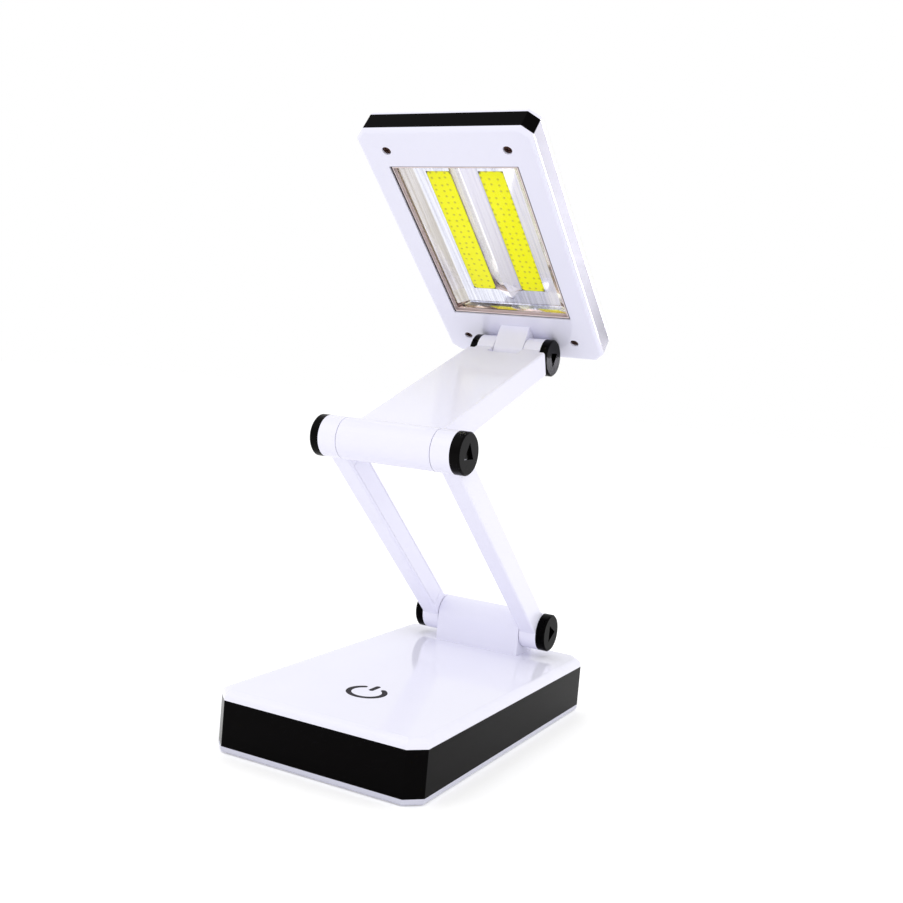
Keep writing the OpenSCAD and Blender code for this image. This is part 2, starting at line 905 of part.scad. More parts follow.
module at_head_hinge() {
    on_upper_arm() translate([0, upper_len, 0]) children();
}

module head_hinge_pin() {
    color("silver") at_head_hinge() hinge_pin(ring_out);
}

module head_hinge_washers() {
    color("gray") at_head_hinge() hinge_washers(ring_out);
}

module head_hinge_nut() {
    color("silver") at_head_hinge() hinge_nut(ring_out);
}

module head_hinge_caps() {
    color([0.05, 0.05, 0.05]) at_head_hinge() cap_pair(ring_out, head_cap_t, -upper_rise);
}

// ---------- head, drawn folded: its length runs to -Y, its lit face looks down ----------

// Side view of the knuckle: the barrel and the tab that runs out onto the head's face
module knuckle_profile() {
    tip = [-tab_reach, face_offset];
    touch = atan2(tip[1], tip[0]) + acos(barrel_r / norm(tip));
    circle(barrel_r);
    polygon([[0, 0], barrel_r * [cos(touch), sin(touch)], tip, [stem_rear, face_offset], [stem_rear, 0]]);
}

module head_knuckle() {
    color("white") on_head()
        difference() {
            union() {
                rotate([90, 0, 90]) linear_extrude(2 * knuckle_half, center = true) knuckle_profile();
                block(-knuckle_half, knuckle_half, -stem_front, stem_rear, 0, head_band_z + flange_t);
                block(-flange_half, flange_half, -flange_front, flange_rear, head_band_z, head_band_z + flange_t);
            }
            x_rod(pin_bore_r, -knuckle_half - past, knuckle_half + past);
            for (side = [-1, 1])
                translate([side * knuckle_screw_x, 0, head_band_z - past])
                    cylinder(r = head_screw_r + fit, h = flange_t + 2 * past);
        }
}

module knuckle_screws() {
    color("silver") on_head()
        for (side = [-1, 1])
            translate([side * knuckle_screw_x, 0, head_band_z + flange_t]) mirror([0, 0, 1])
                screw(head_screw_r, screw_head_r, screw_head_h, knuckle_screw_len);
}

// Places of the four head screws
module at_head_screws() {
    for (y = [head_tail - head_screw_near, head_screw_far - head_front], side = [-1, 1])
        translate([side * head_screw_x, y, 0]) children();
}

module head_outline(inset = 0) {
    translate([0, -head_mid]) cut_rect(head_w, head_len, head_corner, inset);
}

// White front frame with the window, the slot for the knuckle and the four sunk screw holes
module head_bezel() {
    color("white") on_head()
        difference() {
            translate([0, -head_mid, head_band_z]) mirror([0, 0, 1])
                crowned_lid(head_w, head_len, head_corner, bezel_h, bezel_edge_r);
            block(
                -window_w / 2, window_w / 2, -window_start - window_len, -window_start,
                bezel_z - past, head_band_z + past
            );
            block(
                -knuckle_half - fit, knuckle_half + fit, -stem_front - fit, stem_rear + fit,
                bezel_z - past, head_band_z + past
            );
            at_head_screws() translate([0, 0, bezel_z - past]) {
                cylinder(r = head_screw_hole_r, h = head_screw_sink + past);
                cylinder(r = head_screw_r + fit, h = bezel_h + 2 * past);
            }
            for (side = [-1, 1])
                translate([side * knuckle_screw_x, 0, head_band_z + flange_t - knuckle_screw_len - screw_fit])
                    cylinder(r = head_screw_r + screw_fit, h = bezel_h);
        }
}

module head_band() {
    color([0.03, 0.03, 0.03]) on_head()
        translate([0, 0, head_band_z])
            linear_extrude(head_band_h)
                difference() {
                    head_outline();
                    head_outline(head_band_wall);
                }
}

// White back with rounded edge, hollow inside, and bosses that the head screws bite in
module head_back_cover() {
    color("white") on_head()
        difference() {
            union() {
                difference() {
                    translate([0, -head_mid, back_z])
                        crowned_lid(head_w, head_len, head_corner, back_h, back_edge_r);
                    translate([0, 0, back_z - past])
                        linear_extrude(back_h - back_plate + past) head_outline(back_edge_r);
                }
                at_head_screws()
                    translate([0, 0, head_band_z]) cylinder(r = head_boss_r, h = head_back - back_plate - head_band_z);
            }
            at_head_screws()
                translate([0, 0, head_band_z - past])
                    cylinder(r = head_screw_r + screw_fit, h = head_band_h + past);
        }
}

module head_screws() {
    color([0.2, 0.12, 0.08]) on_head()
        at_head_screws() translate([0, 0, bezel_z + head_screw_sink])
            screw(head_screw_r, head_screw_head_r, head_screw_head_h, head_band_h);
}

// Clear window: a pad that fills the opening, on a flange behind the bezel
module lens() {
    color([0.85, 0.9, 0.95, 0.4]) on_head()
        translate([0, -window_mid, 0]) {
            translate([0, 0, bezel_z + lens_sink])
                linear_extrude(bezel_h - lens_sink)
                    square([window_w - 2 * lens_gap, window_len - 2 * lens_gap], center = true);
            translate([0, 0, head_band_z])
                linear_extrude(lens_flange_t)
                    square([window_w + 2 * lens_flange, window_len + 2 * lens_flange], center = true);
        }
}

// Hollow of the reflector: upright at the rim, then sloping in to the floor
module reflector_hollow() {
    w = window_w - 2 * reflector_lip;
    len = window_len - 2 * reflector_lip;
    translate([-w / 2, -window_mid - len / 2, reflector_z - past]) cube([w, len, rim_z - reflector_z + past]);
    hull() {
        translate([-w / 2, -window_mid - len / 2, rim_z - thin]) cube([w, len, thin]);
        translate([-floor_w / 2, -window_mid - floor_len / 2, strip_z - thin]) cube([floor_w, floor_len, thin]);
    }
}

// Ridge between the strips: its crest starts in the far wall, and its base ends in a point near the hinge
module reflector_ridge() {
    half_w = strip_pitch / 2 - strip_w / 2 - fit;
    far = -window_start - window_len;
    near = -strip_start;
    hull() {
        translate([0, 0, strip_z]) linear_extrude(reflector_floor_t / 2)
            polygon([[-half_w, far], [half_w, far], [half_w, near], [0, near + half_w], [-half_w, near]]);
        translate([-crest_w / 2, far, crest_z]) cube([crest_w, near - crest_inset - far, thin]);
    }
}

// Bright reflector: a tray with sloping sides, a ridge along its middle and a slot for each strip
module reflector() {
    flange_w = window_w + 2 * lens_flange;
    flange_len = window_len + 2 * lens_flange;
    color("silver") on_head()
        difference() {
            union() {
                difference() {
                    translate([-flange_w / 2, -window_mid - flange_len / 2, reflector_z])
                        cube([flange_w, flange_len, strip_z + reflector_floor_t - reflector_z]);
                    reflector_hollow();
                }
                reflector_ridge();
            }
            for (side = [0, 1])
                mirror([side, 0, 0])
                    strip_block(strip_w + 2 * fit, strip_len + 2 * fit, strip_z - past, board_strip_z + past);
        }
}

// A block centred on the right-hand strip
module strip_block(w, len, z0, z1) {
    block(strip_x - w / 2, strip_x + w / 2, -strip_mid - len / 2, -strip_mid + len / 2, z0, z1);
}

module strip_shape() {
    translate([strip_x, -strip_mid, strip_z]) linear_extrude(strip_t) soft_rect(strip_w, strip_len, strip_corner);
}

module light_strip_right() {
    color("yellow") on_head() strip_shape();
}

module light_strip_left() {
    color("yellow") on_head() mirror([1, 0, 0]) strip_shape();
}

module led_boards() {
    margin = 2 * led_board_margin;
    color("silver") on_head()
        for (side = [0, 1])
            mirror([side, 0, 0])
                strip_block(strip_w + margin, strip_len + margin, board_strip_z, spreader_z);
}

module heat_spreader() {
    color("lightgray") on_head()
        block(
            -window_w / 2, window_w / 2, -window_start - window_len, -window_start,
            spreader_z, spreader_z + spreader_t
        );
}

// Flat wires from the knuckle, behind the reflector, to between the two boards
module head_wires() {
    high = board_strip_z + 2 * wire_gap;
    color("firebrick") on_head() {
        block(-wire_w / 2, wire_w / 2, -strip_start - wire_w, stem_rear, high, high + wire_t);
        block(
            -wire_w / 2, wire_w / 2, stem_rear - wire_t, stem_rear,
            head_band_z + flange_t + wire_gap, high + wire_t
        );
    }
}

rubber_feet();
base_tray();
tray_screws();
base_band();
base_top_cover();
hinge_block();
hinge_plate();
hinge_plate_screws();
control_board();
board_parts();
touch_disc();
touch_spring();
battery_holder();
battery_cells();
battery_contacts();
base_wires();
battery_door();
door_screw();
left_rail();
right_rail();
left_rail_cover();
right_rail_cover();
lower_arm_wires();
base_hinge_pin();
base_hinge_washers();
base_hinge_nut();
base_hinge_caps();
elbow_pin();
elbow_washers();
elbow_nut();
elbow_caps();
upper_arm_body();
upper_arm_cover();
upper_arm_screws();
upper_arm_wires();
head_hinge_pin();
head_hinge_washers();
head_hinge_nut();
head_hinge_caps();
head_knuckle();
knuckle_screws();
head_bezel();
head_band();
head_back_cover();
head_screws();
lens();
reflector();
light_strip_left();
light_strip_right();
led_boards();
heat_spreader();
head_wires();
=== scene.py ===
# %% [markdown]
# # A folding desk lamp, dressed for the render
#
# The lamp's solids come ready made from the CAD model: a flat base, two folding
# arms and a square lamp head, all in metres and already in their places. This
# lesson does not move or reshape them. It gives every one of them a finish, adds
# the few thin things that solids leave out (the printed touch sign, the screws
# with their cross recesses), and sets up a floor, a studio and a camera.

import math

import bmesh
import bpy
import numpy as np
from mathutils import Matrix, Vector


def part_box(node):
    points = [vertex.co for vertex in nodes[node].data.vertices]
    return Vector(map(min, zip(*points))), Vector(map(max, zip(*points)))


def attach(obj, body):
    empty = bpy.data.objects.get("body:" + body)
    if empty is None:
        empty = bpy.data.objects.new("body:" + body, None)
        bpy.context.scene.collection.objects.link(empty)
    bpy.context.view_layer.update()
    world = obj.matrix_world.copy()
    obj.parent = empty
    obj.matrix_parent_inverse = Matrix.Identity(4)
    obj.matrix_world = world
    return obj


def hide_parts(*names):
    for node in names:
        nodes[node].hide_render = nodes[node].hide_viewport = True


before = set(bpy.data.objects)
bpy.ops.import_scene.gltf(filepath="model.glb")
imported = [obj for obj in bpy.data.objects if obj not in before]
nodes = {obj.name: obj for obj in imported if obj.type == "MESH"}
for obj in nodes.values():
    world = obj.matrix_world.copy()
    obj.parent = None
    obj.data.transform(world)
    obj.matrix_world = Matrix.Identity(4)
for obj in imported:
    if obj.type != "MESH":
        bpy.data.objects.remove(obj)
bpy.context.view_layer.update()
scene = bpy.context.scene
MM = 0.001

# %% [markdown]
# ## The camera
#
# A product picture is mostly a matter of where the camera stands. Here it is
# close to the table's height, a little to the lamp's right, and rolled by five
# degrees. A look-at constraint would aim it, but could not roll it. The three
# directions of a camera (right, up and back) are the columns of its rotation
# matrix, so they are worked out from the angles and put there directly.

# %% Place the camera
IMAGE_SIDE = 903.0
FOCAL_PIXELS = 1141.237
SENSOR_MM = 36.0
CAMERA_AT = (0.219274, -0.411397, 0.154917)
AZIMUTH, ELEVATION, ROLL = (math.radians(angle) for angle in (27.350, 4.743, 5.069))

level = math.cos(ELEVATION)
back = Vector((math.sin(AZIMUTH) * level, -math.cos(AZIMUTH) * level, math.sin(ELEVATION)))
level_right = (-back).cross(Vector((0, 0, 1))).normalized()
level_up = back.cross(level_right)
right = math.cos(ROLL) * level_right + math.sin(ROLL) * level_up
up = -math.sin(ROLL) * level_right + math.cos(ROLL) * level_up

camera_data = bpy.data.cameras.new("studio_camera")
camera_data.sensor_width = SENSOR_MM
camera_data.lens = FOCAL_PIXELS * SENSOR_MM / IMAGE_SIDE
camera_data.clip_start = 0.01
camera = bpy.data.objects.new("studio_camera", camera_data)
camera.matrix_world = Matrix.Translation(CAMERA_AT) @ Matrix((right, up, back)).transposed().to_4x4()
scene.collection.objects.link(camera)
bpy.context.scene.camera = camera
bpy.context.scene.view_settings.view_transform = "Standard"
print("lens:", round(camera_data.lens, 2), "mm")

# %% [markdown]
# ## A workbench for node trees
#
# A finish is a tree of shader nodes. Made by hand, each node takes a line to
# add, and one more for every link and value. A small class takes that over, so
# that the cells below read like a recipe: noise, spread, blend. Its textures
# read Object coordinates. The solids sit at the origin with their place in
# their vertices, so these coordinates are plain metres in the lamp's own frame,
# and a pattern made in them keeps its real size.


# %% Short ways to add nodes
class Workbench:
    """A node tree under construction."""

    def __init__(self, tree):
        self.tree = tree
        self.coordinates = self.node("ShaderNodeTexCoord").outputs["Object"]

    def node(self, kind, **settings):
        """Add a node and set its properties."""
        made = self.tree.nodes.new(kind)
        for key, value in settings.items():
            setattr(made, key, value)
        return made

    def feed(self, socket, value):
        """Link value into socket if it is a socket itself, or set it there if it is a number or colour."""
        if isinstance(value, bpy.types.NodeSocket):
            self.tree.links.new(value, socket)
        else:
            socket.default_value = value

    def maths(self, operation, *values):
        """One sum on numbers or sockets."""
        made = self.node("ShaderNodeMath", operation=operation)
        for socket, value in zip(made.inputs, values):
            self.feed(socket, value)
        return made.outputs[0]

    def noise(self, size, detail=2.0, stretch=(1, 1, 1), where=None):
        """Cloudy noise whose blobs are about size metres across, drawn out by stretch along x, y and z."""
        mapping = self.node("ShaderNodeMapping")
        self.feed(mapping.inputs["Vector"], where or self.coordinates)
        mapping.inputs["Scale"].default_value = [1 / (size * factor) for factor in stretch]
        made = self.node("ShaderNodeTexNoise")
        made.inputs["Scale"].default_value = 1
        made.inputs["Detail"].default_value = detail
        self.feed(made.inputs["Vector"], mapping.outputs[0])
        return made.outputs["Fac"]

    def spread(self, value, low, high, start=0.3, end=0.7):
        """Read value from start..end as low..high, and hold it beyond the ends.

        A noise lies mostly between 0.3 and 0.7, so that is the usual start and end.
        """
        made = self.node("ShaderNodeMapRange", clamp=True)
        limits = {"From Min": start, "From Max": end, "To Min": low, "To Max": high}
        for name, number in limits.items():
            made.inputs[name].default_value = number
        self.feed(made.inputs["Value"], value)
        return made.outputs["Result"]

    def blend(self, share, first, second):
        """A colour between first and second, by share from 0 to 1.

        The Mix node keeps sockets for every kind of data: 6 and 7 are its two colours in,
        and 2 is its colour out.
        """
        made = self.node("ShaderNodeMix", data_type="RGBA")
        self.feed(made.inputs["Factor"], share)
        for socket, value in ((made.inputs[6], first), (made.inputs[7], second)):
            self.feed(socket, value if isinstance(value, bpy.types.NodeSocket) else (*value, 1))
        return made.outputs[2]


print("the workbench adds nodes, links, noise, spreads and blends")

# %% [markdown]
# ## What every finish shares
#
# Nearly every material in the world suits the Principled shader: one colour,
# one roughness, and a few sockets for metal, glass and shine. No real surface
# has the same colour and polish all over, though. So a finish here starts from
# its plain values, and then has short ways to let the colour drift, the
# roughness vary, and fine layers of bump tilt the light.


# %% A finish, and putting it on solids
class Finish(Workbench):
    """A material with a Principled shader and a few textures in front of it."""

    def __init__(self, name, colour, roughness, **sockets):
        self.material = bpy.data.materials.new(name)
        self.material.use_nodes = True
        super().__init__(self.material.node_tree)
        self.colour = colour
        self.shader = self.tree.nodes["Principled BSDF"]
        self.output = self.tree.nodes["Material Output"]
        self.shader.inputs["Base Color"].default_value = (*colour, 1)
        self.shader.inputs["Roughness"].default_value = roughness
        for socket, value in sockets.items():
            self.shader.inputs[socket.replace("_", " ")].default_value = value

    def paint(self, colour):
        """Use a colour socket as the base colour."""
        self.feed(self.shader.inputs["Base Color"], colour)

    def vary_colour(self, value, other):
        """Let the colour drift towards other where value is high."""
        self.paint(self.blend(value, self.colour, other))

    def vary_roughness(self, value, low, high):
        """Let the roughness follow value, from low to high."""
        self.feed(self.shader.inputs["Roughness"], self.spread(value, low, high))

    def bump(self, *layers):
        """Stack (height socket, depth in metres) layers into one normal."""
        normal = None
        for height, depth in layers:
            made = self.node("ShaderNodeBump")
            made.inputs["Strength"].default_value = 1
            made.inputs["Distance"].default_value = depth
            self.feed(made.inputs["Height"], height)
            if normal is not None:
                self.feed(made.inputs["Normal"], normal)
            normal = made.outputs["Normal"]
        self.feed(self.shader.inputs["Normal"], normal)


def finish_nodes(finish, *names):
    """Give the named solids this finish in every material slot they have."""
    for name in names:
        for slot in nodes[name].material_slots:
            slot.material = finish.material
    print(finish.material.name, "->", ", ".join(names))


print("a finish has paint, vary_colour, vary_roughness and bump")

# %% [markdown]
# ## White plastic
#
# The white shells are injection-moulded ABS with a faint cold tint. The covers
# are polished like piano lacquer, so they mirror the arms; the rails are duller,
# the upper arm lies between the two, and the block and the tray have a fine
# grain. A mould never leaves a perfectly flat face: a very long, very shallow
# wave in the bump makes reflections wander as they do on real plastic, and a
# fine cloud in the roughness stands for the film of dust and fingers. Six
# whites from one function keep them a family.

# %% White shells
# Sizes across and the wave's depth are in metres; the last three multiply colour or roughness.
DUST_SIZE, POLISH_SIZE, WAVE_SIZE, GRAIN_SIZE = 0.030, 0.012, 0.060, 0.0006
WAVE_DEPTH = 40e-6
DUSTY, SHINIER, DULLER = 0.975, 0.92, 1.1


def white_plastic(name, roughness, grain, colour, shine=0.5):
    """White ABS: grain is the depth in metres of its fine surface texture."""
    finish = Finish(name, colour, roughness, Specular_IOR_Level=shine)
    dust = finish.noise(DUST_SIZE, detail=3)
    finish.vary_colour(finish.spread(dust, 0, 0.5), [c * DUSTY for c in colour])
    polish = finish.noise(POLISH_SIZE, detail=2)
    finish.vary_roughness(polish, roughness * SHINIER, roughness * DULLER)
    wave = finish.noise(WAVE_SIZE, detail=0)
    finish.bump((wave, WAVE_DEPTH), (finish.noise(GRAIN_SIZE), grain))
    return finish


gloss_white = white_plastic("gloss_white", 0.09, 1.0e-6, (0.81, 0.803, 0.93))
cover_white = white_plastic("cover_white", 0.09, 1.0e-6, (0.85, 0.845, 0.95), 0.3)
satin_white = white_plastic("satin_white", 0.24, 3.0e-6, (0.86, 0.85, 0.975))
arm_white = white_plastic("arm_white", 0.12, 2.0e-6, (0.86, 0.85, 0.975), 0.2)
grained_white = white_plastic("grained_white", 0.42, 12.0e-6, (0.83, 0.823, 0.95))
# The tray is white plastic; its grey colour is painted shade, for the shade along its edge at the floor.
tray_white = white_plastic("tray_white", 0.34, 8.0e-6, (0.62, 0.62, 0.73))
finish_nodes(gloss_white, "head_bezel", "head_back_cover")
finish_nodes(cover_white, "base_top_cover")
finish_nodes(satin_white, "left_rail", "right_rail", "left_rail_cover", "right_rail_cover")
finish_nodes(satin_white, "head_knuckle")
finish_nodes(arm_white, "upper_arm_body", "upper_arm_cover")
finish_nodes(grained_white, "hinge_block")
finish_nodes(tray_white, "base_tray", "battery_door")

# %% [markdown]
# ## Black plastic
#
# The bands round the base and the head are black ABS, nearly as shiny as the
# covers. The hinge caps and the battery holder are the same plastic, some of
# them from duller moulds. Black has almost no colour to show, so what is seen
# of it is its shine: the specular level decides how black it looks. It also
# shows every fine scratch, so the roughness follows a streaky noise.

# %% Black bands, caps and holder
# Metres again, and RUBBED multiplies the colour.
STREAK_SIZE, FINE_SIZE = 0.004, 0.0005
SHALLOW_WAVE, FINE_DEPTH = 25e-6, 1e-6
RUBBED = 1.8


def black_plastic(name, colour, roughness, streak, shine=0.2):
    """Black ABS whose streaks run along streak, three stretch factors."""
    finish = Finish(name, colour, roughness, Specular_IOR_Level=shine)
    streaks = finish.noise(STREAK_SIZE, detail=4, stretch=streak)
    finish.vary_colour(finish.spread(streaks, 0, 1), [c * RUBBED for c in colour])
    finish.vary_roughness(streaks, roughness * SHINIER, roughness * DULLER)
    wave = finish.noise(WAVE_SIZE, detail=0)
    finish.bump((wave, SHALLOW_WAVE), (finish.noise(FINE_SIZE), FINE_DEPTH))
    return finish


BAND_COLOUR = (0.0003, 0.0001, 0.0002)
band_black = black_plastic("band_black", BAND_COLOUR, 0.14, (6, 6, 1), 0.025)
base_black = black_plastic("base_black", BAND_COLOUR, 0.14, (6, 6, 1), 0.035)
cap_black = black_plastic("cap_black", (0.0008, 0.0006, 0.0006), 0.22, (1, 3, 3), 0.045)
holder_black = black_plastic("holder_black", (0.012, 0.012, 0.013), 0.45, (1, 2, 1))
finish_nodes(band_black, "head_band", "base_hinge_caps")
finish_nodes(base_black, "base_band")
finish_nodes(cap_black, "elbow_caps", "head_hinge_caps")
finish_nodes(holder_black, "battery_holder")

# %% [markdown]
# ## Metal
#
# Screws, pins and springs are zinc-plated or dark-brown steel, and the light
# strips sit on bare aluminium plates. Metal has no colour of its own beside its
# reflections, so the detail is in the roughness: turning marks on the pins,
# rolling marks along the plates. One noise, drawn out along the marks, drives
# colour, roughness and bump together, because on real metal they are the same
# marks.

# %% Steel, brown screws, aluminium
MARK_SIZE, MARK_DEPTH = 0.0008, 3e-6
MARK_SHADE, POLISHED, RUBBED_MATT = 0.72, 0.7, 1.5


def metal(name, colour, roughness, stretch):
    """Bare or plated metal with brushing drawn out along stretch."""
    finish = Finish(name, colour, roughness, Metallic=1.0)
    marks = finish.noise(MARK_SIZE, detail=3, stretch=stretch)
    finish.vary_colour(finish.spread(marks, 0, 0.6), [c * MARK_SHADE for c in colour])
    finish.vary_roughness(marks, roughness * POLISHED, roughness * RUBBED_MATT)
    finish.bump((marks, MARK_DEPTH))
    return finish


plated_steel = metal("plated_steel", (0.60, 0.60, 0.60), 0.30, (1, 4, 4))
brown_steel = metal("brown_steel", (0.070, 0.036, 0.028), 0.34, (1, 1, 1))
rolled_aluminium = metal("rolled_aluminium", (0.78, 0.79, 0.80), 0.28, (1, 14, 14))
finish_nodes(plated_steel, "hinge_plate", "hinge_plate_screws", "knuckle_screws")
finish_nodes(plated_steel, "touch_spring", "battery_contacts")
finish_nodes(plated_steel, "base_hinge_pin", "elbow_pin", "head_hinge_pin")
finish_nodes(plated_steel, "base_hinge_washers", "elbow_washers", "head_hinge_washers")
finish_nodes(plated_steel, "base_hinge_nut", "elbow_nut", "head_hinge_nut")
finish_nodes(rolled_aluminium, "led_boards", "heat_spreader")

# %% [markdown]
# ## The circuit board
#
# Nobody sees the inside until the lamp is opened, but each part there still has
# its own finish. The board is green lacquer over copper tracks. A Brick texture
# is the quickest way to a net of fine lines: its mortar makes the tracks, and
# the same lines, fed into the bump, let them stand up under the lacquer. The
# chips are dull black, and the touch disc is thin copper.

# %% Board, chips and touch disc
TRACK_PITCH, TRACK_DEPTH = 0.0045, 20e-6

board_green = Finish("board_green", (0.010, 0.115, 0.030), 0.28)
tracks = board_green.node("ShaderNodeTexBrick")
tracks.inputs["Scale"].default_value = 1 / TRACK_PITCH
tracks.inputs["Mortar Size"].default_value = 0.05
greys = {"Color1": 0.0, "Color2": 0.15, "Mortar": 1.0}
for which, grey in greys.items():
    tracks.inputs[which].default_value = (grey, grey, grey, 1)
board_green.feed(tracks.inputs["Vector"], board_green.coordinates)
board_green.vary_colour(tracks.outputs["Color"], (0.035, 0.25, 0.07))
board_green.bump((tracks.outputs["Color"], TRACK_DEPTH))
finish_nodes(board_green, "control_board")

chips_black = black_plastic("chips_black", (0.02, 0.02, 0.021), 0.5, (1, 1, 1))
touch_copper = metal("touch_copper", (0.80, 0.42, 0.26), 0.32, (8, 1, 1))
finish_nodes(chips_black, "board_parts")
finish_nodes(touch_copper, "touch_disc")

# %% [markdown]
# ## Cells and wires
#
# The cells wear a shrunk plastic jacket with fine wrinkles along them, and the
# wires are soft red plastic over twisted strands. Both are one noise each,
# stretched along the piece: it shifts the colour a little and makes the bump.
# Modelled wrinkles would cost thousands of faces that nobody looks at.

# %% Cell jackets and red wire
cell_jacket = Finish("cell_jacket", (0.05, 0.22, 0.42), 0.30, Specular_IOR_Level=0.6)
wrinkles = cell_jacket.noise(0.003, detail=3, stretch=(1, 8, 1))
cell_jacket.vary_colour(cell_jacket.spread(wrinkles, 0, 0.6), (0.03, 0.14, 0.30))
cell_jacket.vary_roughness(wrinkles, 0.2, 0.45)
cell_jacket.bump((wrinkles, 30e-6))
finish_nodes(cell_jacket, "battery_cells")

wire_red = Finish("wire_red", (0.42, 0.015, 0.012), 0.42)
twist = wire_red.noise(0.0012, detail=2, stretch=(1, 6, 6))
wire_red.vary_colour(wire_red.spread(twist, 0, 0.6), (0.30, 0.010, 0.008))
wire_red.bump((twist, 25e-6))
finish_nodes(wire_red, "base_wires", "lower_arm_wires", "upper_arm_wires", "head_wires")

# %% [markdown]
# ## Rubber feet
#
# Four thin discs of grey rubber keep the base from sliding. Rubber is matt and
# slightly crumbly. High roughness alone looks like paper, so a grain of just
# under a millimetre also darkens it and roughens its surface.

# %% Grey rubber
rubber_grey = Finish("rubber_grey", (0.22, 0.22, 0.225), 0.78, Specular_IOR_Level=0.3)
crumb = rubber_grey.noise(0.0009, detail=5)
rubber_grey.vary_colour(rubber_grey.spread(crumb, 0, 0.7), (0.13, 0.13, 0.135))
rubber_grey.vary_roughness(crumb, 0.65, 0.9)
rubber_grey.bump((crumb, 40e-6))
finish_nodes(rubber_grey, "rubber_feet")

# %% [markdown]
# ## Carrying a profile along a path
#
# The lamp's switch shows only as a printed sign. Ink is a film of a few
# hundredths of a millimetre. It could be painted into the cover's material, but
# then its edge would be only as sharp as a texture. Made as a real thin solid
# it stays sharp and can be picked out on its own. One tool makes all of it: a
# small flat profile is carried along a path, and narrows to nothing at the
# path's ends so that they come out round.

# %% A strip with round ends


def carried_strip(path, width, low, high):
    """Points of a flat strip with round ends, carried along a path that lies level.

    At each path point the strip's across-direction is the path's direction
    turned a quarter, and the profile is the rectangle from -width/2 to width/2
    and from low to high. The half width at the ends follows a half circle:
    half width = sqrt(r^2 - (r - s)^2), where s is the distance from the end.
    """
    steps = np.linalg.norm(np.diff(path, axis=0), axis=1)
    run = np.concatenate([[0], np.cumsum(steps)])
    radius = width / 2
    from_end = np.minimum(np.minimum(run, run[-1] - run), radius)
    half = np.maximum(np.sqrt(radius**2 - (radius - from_end) ** 2), radius * 0.02)
    ahead = np.gradient(path, axis=0)
    ahead /= np.linalg.norm(ahead, axis=1)[:, None]
    across = np.stack([-ahead[:, 1], ahead[:, 0]], axis=1)
    sides = np.array([-1, -1, 1, 1])
    heights = np.array([low, high, high, low])
    flat = path[:, None, :] + across[:, None, :] * (half[:, None] * sides)[:, :, None]
    level = np.broadcast_to(heights[None, :, None], (*flat.shape[:2], 1))
    return np.concatenate([flat, level], axis=2).reshape(-1, 3)


straight = np.stack([np.zeros(3), np.linspace(0, 1, 3)], axis=1)
print("a strip along 3 points has", len(carried_strip(straight, 0.2, 0, 0.1)), "points")

# %% [markdown]
# ## Faces between rings
#
# A carried profile and a turned shape have the same build: ring after ring of
# points, all with the same number round. So one rule joins them: each point,
# its neighbour round the ring, and the same two on the next ring make a quad.
# A face at each end closes the shell. Closed shells matter, because then
# Blender can work out by itself which way is outwards.

# %% Join rings, and put a shell into the scene


def tube_faces(rings, around, first=0):
    """Quads between neighbouring rings of a closed profile, and one cap at each end.

    Point number = first + ring * around + step, and the step wraps round to 0 at around.
    """
    ring, step = np.meshgrid(np.arange(rings - 1) * around, np.arange(around), indexing="ij")
    after = (step + 1) % around
    quads = np.stack([ring + step, ring + after, ring + around + after, ring + around + step], axis=2)
    last = (rings - 1) * around
    caps = np.stack([np.arange(around)[::-1], np.arange(last, last + around)])
    return quads.reshape(-1, 4) + first, caps + first


def mesh_piece(name, points, face_blocks, body, finish):
    """Put points and blocks of faces into an object at the origin that rides on a body of the lamp.

    The shell is closed, so its faces are turned outwards; edges sharper than 35 degrees stay crisp.
    """
    mesh = bpy.data.meshes.new(name)
    mesh.from_pydata(points.tolist(), [], [face for block in face_blocks for face in block.tolist()])
    shell = bmesh.new()
    shell.from_mesh(mesh)
    bmesh.ops.recalc_face_normals(shell, faces=shell.faces)
    shell.to_mesh(mesh)
    shell.free()
    mesh.polygons.foreach_set("use_smooth", np.ones(len(mesh.polygons), bool))
    mesh.set_sharp_from_angle(angle=math.radians(35))
    mesh.materials.append(finish.material)
    piece = bpy.data.objects.new(name, mesh)
    scene.collection.objects.link(piece)
    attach(piece, body)
    print(name, "points:", len(points), "faces:", len(mesh.polygons))
    return piece


# %% [markdown]
# ## The printed touch sign
#
# The switch is a touch plate under the cover, so all that shows is the usual
# sign for on and off: an open ring with a bar in its gap. The ring is a strip
# along an arc, and the bar is one along a short line. The ink is dull, and a
# fine grain breaks up its surface as screen printing does. It starts a hair
# under the cover's top, so that no gap shows.

# %% Ring and bar of the sign
SIGN = np.array([0.0, -40.5]) * MM
RING_R, STROKE, GAP = 7.0 * MM, 2.15 * MM, math.radians(28)
BAR_FROM, BAR_TO, BAR_W = 2.4 * MM, 9.6 * MM, 2.0 * MM
RING_STEPS, BAR_STEPS = 121, 25
INK_SUNK, INK_PROUD = 0.02 * MM, 0.04 * MM
cover_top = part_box("base_top_cover")[1].z
film = (cover_top - INK_SUNK, cover_top + INK_PROUD)

angles = math.pi / 2 + np.linspace(GAP, 2 * math.pi - GAP, RING_STEPS)
ring_path = SIGN + RING_R * np.stack([np.cos(angles), np.sin(angles)], axis=1)
bar_path = SIGN + np.stack([np.zeros(BAR_STEPS), np.linspace(BAR_FROM, BAR_TO, BAR_STEPS)], axis=1)
ring_points = carried_strip(ring_path, STROKE, *film)
bar_points = carried_strip(bar_path, BAR_W, *film)
sign_faces = [*tube_faces(RING_STEPS, 4), *tube_faces(BAR_STEPS, 4, len(ring_points))]

ink = Finish("sign_ink", (0.020, 0.017, 0.022), 0.40, Specular_IOR_Level=0.015)
grains = ink.noise(0.0004, detail=4)
ink.vary_colour(ink.spread(grains, 0, 0.7), (0.034, 0.030, 0.036))
ink.vary_roughness(grains, 0.22, 0.42)
ink.bump((grains, 4e-6))
mesh_piece("touch_sign", np.concatenate([ring_points, bar_points]), sign_faces, "base", ink)

